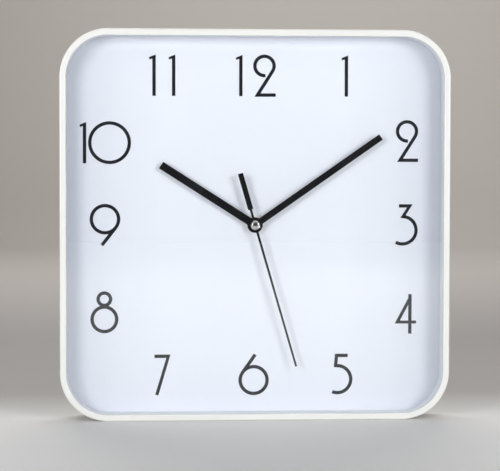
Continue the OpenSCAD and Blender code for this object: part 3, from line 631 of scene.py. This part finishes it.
def turned_metal(name, dark, light, shine, rings, depth):
    """Metal off a lathe: bright, with fine rings and slightly uneven colour."""
    material, tree, shader = blank_material(name)
    marks = add(tree, "Group", node_tree=lathe_marks)
    tree.links.new(object_point(tree), marks.inputs["Vector"])
    marks.inputs["Rings"].default_value = rings
    tree.links.new(ramp(tree, marks.outputs["Tone"], (0.1, dark), (0.6, light)), shader.inputs["Base Color"])
    tree.links.new(span(tree, marks.outputs["Tone"], *shine, 0.0, 0.6), shader.inputs["Roughness"])
    relief(tree, shader, marks.outputs["Height"], 0.3, depth)
    shader.inputs["Metallic"].default_value = 1.0
    return material


brass = turned_metal(
    "turned_brass", (0.55, 0.38, 0.15), (0.80, 0.60, 0.28), (0.22, 0.38), 700.0, 0.01 * mm,
)
for node, rounding in (("brass_washer", 0.08 * mm), ("hex_nut", 0.15 * mm), ("threaded_bush", 0.04 * mm)):
    dress(node, brass)
    ease(node, rounding)

rubber = moulded(
    "washer_rubber", (0.012, 0.012, 0.012), (0.024, 0.024, 0.023), (0.6, 0.8), 2500.0, 120.0, 0.04 * mm,
)
dress("rubber_washer", rubber)
ease("rubber_washer", 0.15 * mm)


# ---------------------------------------------------------------- hands
# Stamped from thin aluminium sheet, tumbled so that their edges are just broken, and sprayed
# satin black, with a short collar on each that grips its arbor.


def make_spray_coat():
    """Orange peel and slow shine changes of sprayed lacquer."""
    group, given, result = shader_group("spray_coat", [("Vector", None), ("Peel", 900.0)], ["Tone", "Height"])
    group.links.new(noise(group, given["Vector"], 60.0, 3.0), result["Tone"])
    group.links.new(noise(group, given["Vector"], given["Peel"], 1.5), result["Height"])
    return group


spray_coat = make_spray_coat()
lacquer, tree, shader = blank_material("hand_lacquer")
point = object_point(tree)
coat = add(tree, "Group", node_tree=spray_coat)
rub = add(tree, "Group", node_tree=edge_rub)
tree.links.new(point, coat.inputs["Vector"])
tree.links.new(point, rub.inputs["Vector"])
rub.inputs["Width"].default_value = 0.12 * mm
black = ramp(tree, coat.outputs["Tone"], (0.3, (0.005, 0.005, 0.0065)), (0.7, (0.008, 0.008, 0.0095)))
worn_black = blend_colours(tree, rub.outputs["Mask"], black, (0.05, 0.05, 0.055))
tree.links.new(worn_black, shader.inputs["Base Color"])
tree.links.new(span(tree, coat.outputs["Tone"], 0.2, 0.28, 0.3, 0.7), shader.inputs["Roughness"])
relief(tree, shader, coat.outputs["Height"], 0.4, 0.008 * mm)
shader.inputs["Specular IOR Level"].default_value = 0.15
for node in ("hour_hand", "minute_hand", "second_hand"):
    dress(node, lacquer)
    ease(node, 0.06 * mm)


# ---------------------------------------------------------------- centre cap
# A small button of bright plated brass, turned in one piece: a rolled rim, a narrow shoulder
# and a rounded flank up to a nearly flat crown. It is pushed on the end of the second hand's arbor.

cap_low, cap_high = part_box("centre_cap")
cap_radius = (cap_high.x - cap_low.x) / 2
cap_height = cap_high.y - cap_low.y
cap_bore = 0.56 * mm
crown_radius = 0.52 * cap_radius
crown_fall = 0.015 * cap_height
bend = 0.32 * cap_radius
flank_drop = 0.5 * cap_height
cap_bore_depth = 0.3 * cap_height
crown_steps = 4
bend_steps = 10


def quarter_turn(steps):
    """Angles from 0 to 90 degrees in equal steps."""
    return [math.radians(90 * i / steps) for i in range(steps + 1)]


crown = [
    (crown_radius * i / crown_steps, cap_low.y + crown_fall * (i / crown_steps) ** 2)
    for i in range(crown_steps + 1)
]
flank = [
    (crown_radius + bend * math.sin(angle), cap_low.y + crown_fall + flank_drop * (1 - math.cos(angle)))
    for angle in quarter_turn(bend_steps)[1:]
]
bm = bmesh.new()
turned_on(bm, 0, axis_z, crown + flank + [
    (0.86 * cap_radius, cap_low.y + 0.66 * cap_height), (0.93 * cap_radius, cap_low.y + 0.62 * cap_height),
    (0.985 * cap_radius, cap_low.y + 0.68 * cap_height), (cap_radius, cap_low.y + 0.78 * cap_height),
    (0.99 * cap_radius, cap_low.y + 0.93 * cap_height), (0.95 * cap_radius, cap_high.y),
    (cap_bore, cap_high.y), (cap_bore, cap_high.y - cap_bore_depth), (0, cap_high.y - cap_bore_depth),
], steps=72)
close_up(bm)
chrome = turned_metal(
    "bright_plating", (0.70, 0.70, 0.71), (0.86, 0.86, 0.86), (0.05, 0.13), 500.0, 0.003 * mm,
)
cap = new_piece("turned_cap", bm, chrome, "second_hand")
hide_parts("centre_cap")


# ---------------------------------------------------------------- back cover
# A matt white moulding with a spark-textured skin. Its square window lets the movement through,
# and a pad behind the keyhole thickens it where it hangs on the wall screw.

back_plastic = moulded(
    "back_plastic", (0.70, 0.70, 0.69), (0.76, 0.76, 0.75), (0.5, 0.66), 1700.0, 14.0, 0.03 * mm,
)
dress("back_cover", back_plastic)
ease("back_cover", 0.3 * mm)

# Ribs stiffen the cover's outer face: five low bars at each side of the window, each with round
# ends and a soft crown, moulded with the cover.
cover_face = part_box("back_cover")[1].y
window_half = 30 * mm
rib_start = window_half + 22 * mm
rib_length = 42 * mm
rib_pitch = 9 * mm
rib_half_width = 0.9 * mm
rib_rise = 0.6 * mm
rib_root = 0.1 * mm


def round_bar(bm, start, end, half_width, base, rise, segments=8):
    """A low bar with round ends and an eased crown, lying on a plane square to Y."""
    easing = 0.45 * rise
    first = set(bm.verts)
    bmesh.ops.create_circle(bm, cap_ends=True, segments=4 * segments, radius=half_width)
    disc = [v for v in bm.verts if v not in first]
    along = Vector((end[0] - start[0], 0, end[1] - start[1]))
    bmesh.ops.rotate(bm, verts=disc, matrix=Matrix.Rotation(math.radians(-90), 3, "X"))
    turn = math.atan2(along.x, along.z)
    bmesh.ops.rotate(bm, verts=disc, matrix=Matrix.Rotation(turn, 3, "Y"))
    place = Vector((start[0], base, start[1]))
    bmesh.ops.translate(bm, verts=disc, vec=place)
    ahead = [v for v in disc if (v.co - place).dot(along.normalized()) > 1e-7]
    bmesh.ops.translate(bm, verts=ahead, vec=along)
    floor = [f for f in bm.faces if all(v in disc for v in f.verts)]
    lifted = bmesh.ops.extrude_face_region(bm, geom=floor)
    top = geometry_of(lifted, bmesh.types.BMVert)
    bmesh.ops.translate(bm, verts=top, vec=(0, rise, 0))
    rim = [e for e in bm.edges if e.verts[0] in top and e.verts[1] in top]
    bmesh.ops.bevel(
        bm, geom=rim, offset=easing, segments=3, profile=0.5, affect="EDGES", material=-1,
    )


bm = bmesh.new()
for side in (-1, 1):
    for row in (-2, -1, 0, 1, 2):
        z = axis_z + row * rib_pitch
        round_bar(
            bm, (side * rib_start, z), (side * (rib_start + rib_length), z), rib_half_width,
            cover_face - rib_root, rib_rise + rib_root,
        )
close_up(bm)
ribs = new_piece("cover_ribs", bm, back_plastic)
weigh_normals(ribs)


# ---------------------------------------------------------------- cover screws
# Zinc-plated self-tapping screws with cross recesses, driven into the corner bosses. The
# plating is a little cloudy.

zinc, tree, shader = blank_material("zinc_plating")
point = object_point(tree)
cloudy = noise(tree, point, 700.0, 5.0, Roughness=0.6)
spangle = add(tree, "TexVoronoi", {"Vector": point, "Scale": 2200.0}).outputs["Distance"]
zinc_grey = ramp(tree, cloudy, (0.3, (0.46, 0.46, 0.47)), (0.7, (0.66, 0.66, 0.67)))
tree.links.new(zinc_grey, shader.inputs["Base Color"])
tree.links.new(span(tree, cloudy, 0.26, 0.46, 0.3, 0.7), shader.inputs["Roughness"])
relief(tree, shader, spangle, 0.2, 0.01 * mm)
shader.inputs["Metallic"].default_value = 1.0
dress("cover_screws", zinc)
ease("cover_screws", 0.12 * mm)

# Each shank carries a coarse rolled thread: a helix of one sharp ridge, closed at both ends.
shank_radius = 1.45 * mm
thread_pitch = 1.1 * mm
thread_turns = 6
thread_start = screw_low.y + 1.2 * mm
ridge_half_width = 0.28 * mm
ridge_root = shank_radius - 0.05 * mm
ridge_crest = shank_radius + 0.32 * mm
turn_steps = 24

bm = bmesh.new()
for x, z in boss_places:
    ridge = [
        bm.verts.new((x + ridge_root, thread_start - ridge_half_width, z)),
        bm.verts.new((x + ridge_crest, thread_start, z)),
        bm.verts.new((x + ridge_root, thread_start + ridge_half_width, z)),
    ]
    wedge = [bm.edges.new((ridge[i], ridge[(i + 1) % 3])) for i in range(3)]
    bm.faces.new(ridge)
    wound = bmesh.ops.spin(
        bm, geom=ridge + wedge, cent=(x, 0, z), axis=(0, 1, 0),
        dvec=(0, thread_pitch / turn_steps, 0), angle=math.radians(360 * thread_turns),
        steps=thread_turns * turn_steps, use_merge=False, use_duplicate=False,
    )
    bm.faces.new(geometry_of(wound, bmesh.types.BMVert, "geom_last"))
close_up(bm, math.radians(50))
new_piece("screw_threads", bm, zinc)


# ---------------------------------------------------------------- movement case
# Two black polystyrene halves that close round the train. The back half leaves the battery bay
# open and carries the signs for the cell and an arc beside the setting knob.

black_plastic = moulded(
    "movement_black", (0.012, 0.012, 0.013), (0.020, 0.020, 0.022), (0.36, 0.52), 1500.0, 45.0,
    0.02 * mm, rub=(0.06, 0.06, 0.063), rub_width=0.2 * mm,
)
for node in ("movement_front_case", "movement_back_case"):
    dress(node, black_plastic)
    ease(node, 0.2 * mm)

# Moulded signs stand a hair proud of the back: a plus and a minus above the ends of the cell, and
# a short arc beside the knob that shows that it turns.
knob_low, knob_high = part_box("setting_knob")
cell_low, cell_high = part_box("battery_cell")
movement_low, movement_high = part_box("movement_back_case")
knob_x, knob_z = (knob_low.x + knob_high.x) / 2, (knob_low.z + knob_high.z) / 2
sign_rise = 0.25 * mm
sign_half_width = 0.35 * mm
sign_arm = 1.7 * mm
sign_inset = 8 * mm
sign_foot = movement_high.y - 0.05 * mm
sign_z = cell_high.z + 4.5 * mm
plus_x = movement_high.x - sign_inset
minus_x = movement_low.x + sign_inset
arc_radius = (knob_high.x - knob_low.x) / 2 + 1.9 * mm
arc_half_width = 0.22 * mm
arc_angles = range(152, 112, -8)

bm = bmesh.new()
for x in (plus_x, minus_x):
    round_bar(bm, (x - sign_arm, sign_z), (x + sign_arm, sign_z), sign_half_width, sign_foot, sign_rise)
for end in (-1, 1):
    near = (plus_x, sign_z + end * 1.2 * sign_half_width)
    round_bar(bm, near, (plus_x, sign_z + end * sign_arm), sign_half_width, sign_foot, sign_rise)
dots = [
    (knob_x + arc_radius * math.cos(math.radians(angle)), knob_z + arc_radius * math.sin(math.radians(angle)))
    for angle in arc_angles
]
for start, end in zip(dots, dots[1:]):
    round_bar(bm, start, end, arc_half_width, sign_foot, sign_rise, segments=4)
close_up(bm)
new_piece("moulded_signs", bm, black_plastic)


# ---------------------------------------------------------------- setting knob
# A flat black knob with sixteen finger grips round its edge, moulded in one with its shaft and
# pinion.

knob_plastic = moulded(
    "knob_black", (0.014, 0.014, 0.015), (0.024, 0.024, 0.026), (0.3, 0.45), 2200.0, 90.0,
    0.02 * mm, rub=(0.09, 0.09, 0.09), rub_width=0.15 * mm,
)
dress("setting_knob", knob_plastic)
ease("setting_knob", 0.12 * mm)


# ---------------------------------------------------------------- battery
# One AA cell: a steel can in a printed sleeve that is shrunk over both ends, an insulating ring
# round the positive end, and a drawn button that stands out of it.

cell_radius = (cell_high.z - cell_low.z) / 2
cell_axis_y = (cell_low.y + cell_high.y) / 2
cell_axis_z = (cell_low.z + cell_high.z) / 2
button_length = 1.3 * mm
button_radius = 2.75 * mm
sleeve_end = cell_high.x - button_length


def turned_along_x(outline, steps=64):
    """Turns an outline of (radius, x) points about the battery's axis."""
    bm = bmesh.new()
    points = [bm.verts.new((x, cell_axis_y, cell_axis_z + radius)) for radius, x in outline]
    edges = [bm.edges.new(pair) for pair in zip(points, points[1:])]
    bmesh.ops.spin(
        bm, geom=points + edges, cent=(0, cell_axis_y, cell_axis_z), axis=(1, 0, 0),
        angle=math.radians(360), steps=steps, use_merge=True, use_duplicate=False,
    )
    return bm


# The sleeve grips the can a hair tighter along its middle and rolls over both ends.
crimp = 0.7 * mm
crimp_bend = quarter_turn(5)
grip = 0.02 * mm
grip_inset = 6 * mm
bm = turned_along_x(
    [(0.62 * cell_radius, cell_low.x + 0.25 * mm), (cell_radius - crimp, cell_low.x + 0.02 * mm)]
    + [(cell_radius - crimp + crimp * math.sin(angle), cell_low.x + crimp * (1 - math.cos(angle)))
       for angle in crimp_bend[1:]]
    + [(cell_radius - grip, cell_low.x + grip_inset), (cell_radius - grip, sleeve_end - grip_inset)]
    + [(cell_radius - crimp * (1 - math.cos(angle)), sleeve_end - crimp + crimp * math.sin(angle))
       for angle in crimp_bend]
    + [(0.66 * cell_radius, sleeve_end - 0.15 * mm)]
)
close_up(bm)
jacket_green = (0.012, 0.055, 0.035)
jacket_silver = (0.50, 0.50, 0.49)
jacket_gold = (0.42, 0.25, 0.07)
sleeve, tree, shader = blank_material("cell_sleeve")
point = object_point(tree)
along = add(tree, "SeparateXYZ", {"Vector": point}).outputs["X"]
scuff = noise(tree, point, 260.0, 5.0)
share = span(tree, along, 0, 1, cell_low.x, sleeve_end)
printed = ramp(
    tree, share,
    (0.0, jacket_green), (0.655, jacket_green),
    (0.66, jacket_silver), (0.69, jacket_silver),
    (0.695, jacket_gold), (1.0, jacket_gold),
)
faint = span(tree, scuff, 0.0, 0.35, 0.55, 0.8)
tree.links.new(blend_colours(tree, faint, printed, (0.45, 0.45, 0.43)), shader.inputs["Base Color"])
tree.links.new(span(tree, scuff, 0.2, 0.36, 0.3, 0.7), shader.inputs["Roughness"])
relief(tree, shader, scuff, 0.2, 0.02 * mm)
shader.inputs["Metallic"].default_value = 0.55
shader.inputs["Coat Weight"].default_value = 0.4
cell_sleeve = new_piece("cell_sleeve", bm, sleeve, "battery")
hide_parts("battery_cell")

bm = turned_along_x([
    (0, cell_high.x - 0.05 * mm), (button_radius - 0.6 * mm, cell_high.x),
    (button_radius - 0.25 * mm, cell_high.x - 0.06 * mm), (button_radius, cell_high.x - 0.3 * mm),
    (button_radius + 0.03 * mm, sleeve_end - 0.2 * mm), (button_radius + 0.25 * mm, sleeve_end - 0.5 * mm),
    (0.62 * cell_radius, sleeve_end - 0.55 * mm), (0.62 * cell_radius, sleeve_end - 0.9 * mm),
    (0, sleeve_end - 0.9 * mm),
])
close_up(bm)
new_piece("cell_button", bm, zinc, "battery")

bm = turned_along_x([
    (0.6 * cell_radius, sleeve_end - 0.5 * mm), (0.6 * cell_radius, sleeve_end - 0.12 * mm),
    (0.63 * cell_radius, sleeve_end - 0.04 * mm), (0.74 * cell_radius, sleeve_end - 0.04 * mm),
    (0.78 * cell_radius, sleeve_end - 0.3 * mm), (0.78 * cell_radius, sleeve_end - 0.5 * mm),
    (0.6 * cell_radius, sleeve_end - 0.5 * mm),
])
close_up(bm)
new_piece("cell_insulator", bm, rubber, "battery")

bm = turned_along_x([
    (0, cell_low.x + 0.1 * mm), (0.5 * cell_radius, cell_low.x + 0.1 * mm),
    (0.55 * cell_radius, cell_low.x + 0.18 * mm), (0.64 * cell_radius, cell_low.x + 0.3 * mm),
    (0.64 * cell_radius, cell_low.x + 0.6 * mm), (0, cell_low.x + 0.6 * mm),
])
close_up(bm)
new_piece("cell_base", bm, zinc, "battery")


# ---------------------------------------------------------------- battery contacts
# Nickel-plated spring steel, stamped: a flat plate at the cell's button, and a bowed leaf that
# presses on its flat end.

nickel, tree, shader = blank_material("nickel_plating")
point = object_point(tree)
drawn = add(tree, "Mapping", {"Vector": point, "Scale": (60.0, 60.0, 2600.0)})
streaks = noise(tree, drawn.outputs["Vector"], 1.0, 3.0)
warm_grey = ramp(tree, streaks, (0.3, (0.55, 0.54, 0.51)), (0.7, (0.72, 0.71, 0.68)))
tree.links.new(warm_grey, shader.inputs["Base Color"])
tree.links.new(span(tree, streaks, 0.2, 0.36, 0.3, 0.7), shader.inputs["Roughness"])
relief(tree, shader, streaks, 0.2, 0.01 * mm)
shader.inputs["Metallic"].default_value = 1.0
for node in ("positive_contact", "negative_contact"):
    dress(node, nickel)
    ease(node, 0.06 * mm)


# ---------------------------------------------------------------- motor
# A soft iron stator and coil core, a cream bobbin wound with lacquered copper wire, and a ferrite
# rotor.

iron, tree, shader = blank_material("annealed_iron")
point = object_point(tree)
rolled = add(tree, "Mapping", {"Vector": point, "Scale": (90.0, 90.0, 1900.0)})
rolling = noise(tree, rolled.outputs["Vector"], 1.0, 4.0)
bloom = noise(tree, point, 350.0, 3.0)
blue_grey = ramp(tree, bloom, (0.3, (0.30, 0.32, 0.36)), (0.7, (0.45, 0.46, 0.47)))
tree.links.new(blue_grey, shader.inputs["Base Color"])
tree.links.new(span(tree, rolling, 0.35, 0.55, 0.3, 0.7), shader.inputs["Roughness"])
relief(tree, shader, rolling, 0.25, 0.01 * mm)
shader.inputs["Metallic"].default_value = 0.9
for node in ("stator", "coil_core"):
    dress(node, iron)
    ease(node, 0.05 * mm)

cream = moulded(
    "bobbin_cream", (0.66, 0.62, 0.52), (0.74, 0.70, 0.60), (0.4, 0.55), 2600.0, 140.0, 0.015 * mm,
)
dress("coil_bobbin", cream)
ease("coil_bobbin", 0.06 * mm)

# The winding's outside is a row of fine ridges between the bobbin's cheeks, one for each turn of
# its outer layer.
wind_low, wind_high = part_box("coil_winding")
wind_radius = (wind_high.z - wind_low.z) / 2
wind_y = (wind_low.y + wind_high.y) / 2
wind_z = (wind_low.z + wind_high.z) / 2
wind_core = 1.92 * mm
wire = 0.28 * mm
wire_turns = int((wind_high.x - wind_low.x) / wire)
wire_pitch = (wind_high.x - wind_low.x) / wire_turns

bm = bmesh.new()
wire_profile = ((0.04, 0.55), (0.25, 0.9), (0.5, 1.0), (0.75, 0.9), (0.96, 0.55))
ridges = [(wind_core, wind_low.x)]
for turn in range(wire_turns):
    start = wind_low.x + turn * wire_pitch
    for share_of_turn, lift in wire_profile:
        ridges.append((wind_radius - wire / 2 * (1 - lift), start + share_of_turn * wire_pitch))
ridges.append((wind_core, wind_high.x))
points = [bm.verts.new((x, wind_y, wind_z + radius)) for radius, x in ridges]
edges = [bm.edges.new(pair) for pair in zip(points, points[1:] + points[:1])]
bmesh.ops.spin(
    bm, geom=points + edges, cent=(0, wind_y, wind_z), axis=(1, 0, 0),
    angle=math.radians(360), steps=40, use_merge=True, use_duplicate=False,
)
close_up(bm, math.radians(80))
copper, tree, shader = blank_material("lacquered_copper")
point = object_point(tree)
varnish = noise(tree, point, 420.0, 2.0)
copper_red = ramp(tree, varnish, (0.3, (0.42, 0.12, 0.035)), (0.7, (0.62, 0.22, 0.07)))
tree.links.new(copper_red, shader.inputs["Base Color"])
tree.links.new(span(tree, varnish, 0.18, 0.32, 0.3, 0.7), shader.inputs["Roughness"])
shader.inputs["Metallic"].default_value = 0.85
shader.inputs["Coat Weight"].default_value = 0.6
copper_winding = new_piece("copper_winding", bm, copper)
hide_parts("coil_winding")

ferrite = moulded(
    "rotor_ferrite", (0.05, 0.05, 0.055), (0.09, 0.09, 0.095), (0.45, 0.6), 3200.0, 200.0, 0.03 * mm,
)
dress("rotor_magnet", ferrite)
ease("rotor_magnet", 0.12 * mm)


# ---------------------------------------------------------------- circuit board
# A strip of green glass-fibre board with tinned tracks under its solder mask, the clock chip
# under a drop of black resin, and a small tinned crystal can lying beside it.

board, tree, shader = blank_material("green_board")
point = object_point(tree)
weave = add(
    tree, "TexWave", {"Vector": point, "Scale": 900.0, "Distortion": 0.5},
    wave_type="BANDS", bands_direction="DIAGONAL",
)
upright = add(tree, "Mapping", {"Vector": point, "Rotation": (math.radians(90), 0, 0)}).outputs["Vector"]
lanes = add(tree, "TexBrick", {
    "Vector": upright, "Scale": 260.0, "Mortar Size": 0.08, "Mortar Smooth": 0.2,
    "Row Height": 0.5, "Brick Width": 1.4,
}).outputs["Fac"]
mask_green = ramp(tree, weave.outputs["Fac"], (0.2, (0.008, 0.075, 0.028)), (0.8, (0.012, 0.095, 0.036)))
tree.links.new(blend_colours(tree, lanes, mask_green, (0.03, 0.20, 0.075)), shader.inputs["Base Color"])
tree.links.new(span(tree, lanes, 0.28, 0.4), shader.inputs["Roughness"])
relief(tree, shader, lanes, 0.4, 0.03 * mm)
dress("circuit_board", board)
ease("circuit_board", 0.08 * mm)

resin, tree, shader = blank_material("chip_resin")
point = object_point(tree)
lumps = noise(tree, point, 420.0, 2.0)
resin_black = ramp(tree, lumps, (0.3, (0.008, 0.008, 0.008)), (0.7, (0.016, 0.016, 0.015)))
tree.links.new(resin_black, shader.inputs["Base Color"])
tree.links.new(span(tree, lumps, 0.12, 0.26, 0.3, 0.7), shader.inputs["Roughness"])
relief(tree, shader, lumps, 0.5, 0.08 * mm)
dress("clock_chip", resin)
dress("quartz_crystal", zinc)
ease("quartz_crystal", 0.15 * mm)

# Domes of solder hold the coil's ends, the crystal's leads and the two battery tabs.
board_low, board_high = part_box("circuit_board")
solder_inset = 1.6 * mm
solder_radius = 0.75 * mm
solder_rise = 0.5 * mm
solder_foot = board_low.y + 0.05 * mm
left_pads = board_low.x + solder_inset
right_pads = board_high.x - solder_inset
solder_places = [
    (left_pads, board_high.z - solder_inset), (left_pads, board_high.z - 2.7 * solder_inset),
    (right_pads, board_low.z + solder_inset), (left_pads, board_low.z + solder_inset),
    (right_pads, board_low.z + 3.1 * solder_inset), (left_pads, board_low.z + 3.1 * solder_inset),
]
dome = [
    (solder_radius * math.sin(angle), board_low.y - solder_rise * math.cos(angle))
    for angle in quarter_turn(6)
]
bm = bmesh.new()
for x, z in solder_places:
    turned_on(bm, x, z, dome + [(solder_radius, solder_foot), (0, solder_foot)], steps=20)
close_up(bm)
new_piece("solder_domes", bm, zinc)


# ---------------------------------------------------------------- train
# Wheels and pinions moulded in natural acetal, on a dark bridge that rests on four pillars of the
# movement's front case.

acetal = moulded(
    "natural_acetal", (0.66, 0.63, 0.56), (0.75, 0.72, 0.65), (0.3, 0.42), 3000.0, 180.0, 0.01 * mm,
)
acetal_shader = acetal.node_tree.nodes["Principled BSDF"]
acetal_shader.inputs["Subsurface Weight"].default_value = 0.15
acetal_shader.inputs["Subsurface Scale"].default_value = 0.6 * mm
for node in ("hour_wheel", "minute_arbor", "second_wheel", "centre_wheel", "third_wheel", "fifth_wheel",
             "rotor_pinion", "reverse_wheel"):
    dress(node, acetal)

bridge = moulded(
    "bridge_plastic", (0.035, 0.045, 0.05), (0.055, 0.068, 0.074), (0.42, 0.55), 1900.0, 80.0, 0.02 * mm,
)
dress("middle_plate", bridge)
ease("middle_plate", 0.12 * mm)
